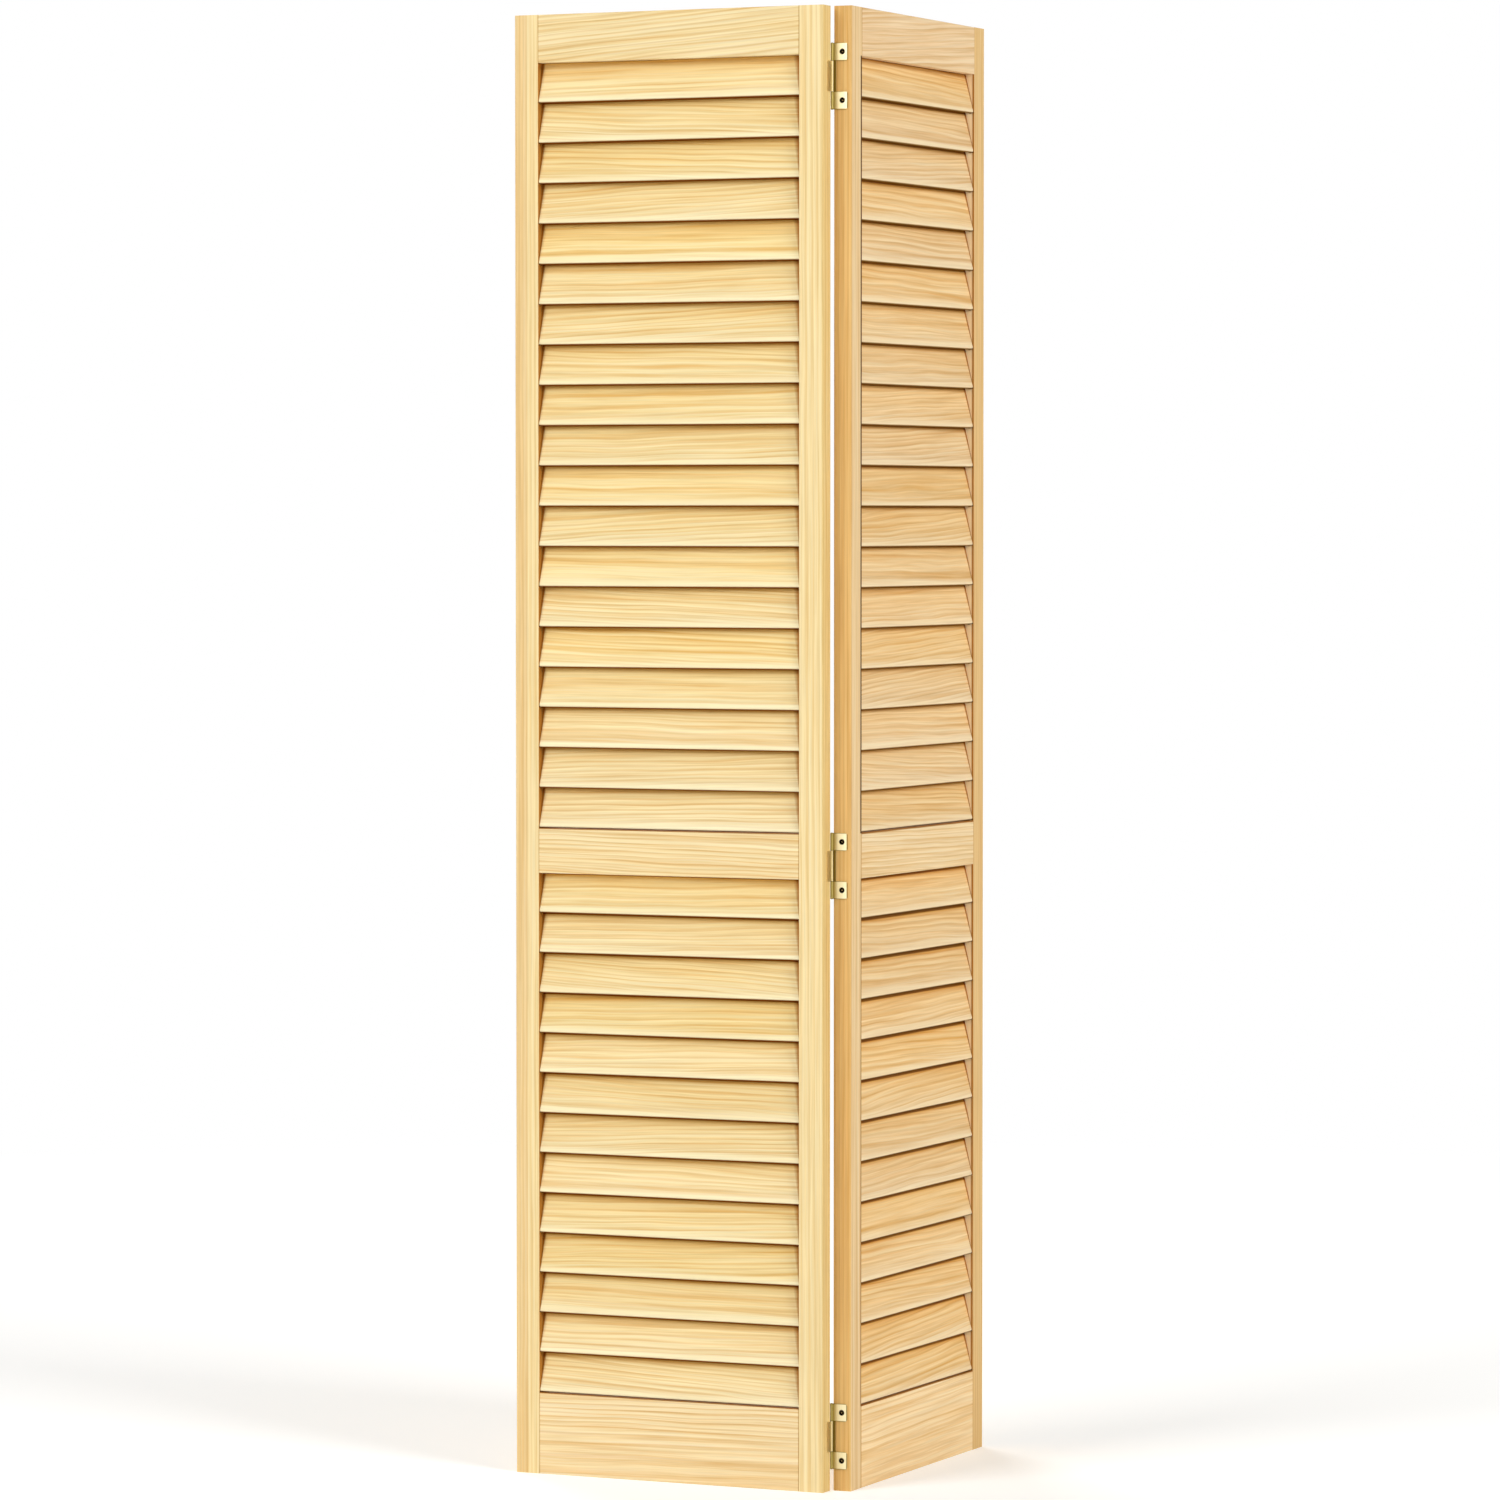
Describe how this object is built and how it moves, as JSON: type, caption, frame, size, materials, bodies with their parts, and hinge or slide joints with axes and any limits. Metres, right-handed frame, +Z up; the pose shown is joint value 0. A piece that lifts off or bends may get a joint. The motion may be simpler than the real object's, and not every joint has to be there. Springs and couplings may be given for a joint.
{
  "type": "louvred folding door pair",
  "caption": "Two louvred wooden door leaves hinged edge to edge and standing half folded: framed stiles and rails around sloping fixed slats that let air through.",
  "frame": {"origin": "on the floor, under the middle of the box around the half-folded pair", "axes": "+Z up along the stiles; the left leaf runs along X with its front to -Y, and the right leaf runs along Y with its front to +X"},
  "size_m": [0.4856, 0.4856, 1.981],
  "materials": {
    "pine_frame": "planed, unfinished",
    "pine_slats": "planed, unfinished",
    "brass": "plated, satin"
  },
  "bodies": {
    "root": {"left_outer_stile": "pine_frame", "left_hinge_stile": "pine_frame", "left_top_rail": "pine_frame", "left_mid_rail": "pine_frame", "left_bottom_rail": "pine_frame", "left_upper_slats": "pine_slats", "left_lower_slats": "pine_slats", "right_outer_stile": "pine_frame", "right_hinge_stile": "pine_frame", "right_top_rail": "pine_frame", "right_mid_rail": "pine_frame", "right_bottom_rail": "pine_frame", "right_upper_slats": "pine_slats", "right_lower_slats": "pine_slats", "top_hinge_outer_plate": "brass", "top_hinge_inner_plate": "brass", "top_hinge_pin": "brass", "middle_hinge_outer_plate": "brass", "middle_hinge_inner_plate": "brass", "middle_hinge_pin": "brass", "bottom_hinge_outer_plate": "brass", "bottom_hinge_inner_plate": "brass", "bottom_hinge_pin": "brass"}
  },
  "joints": []
}
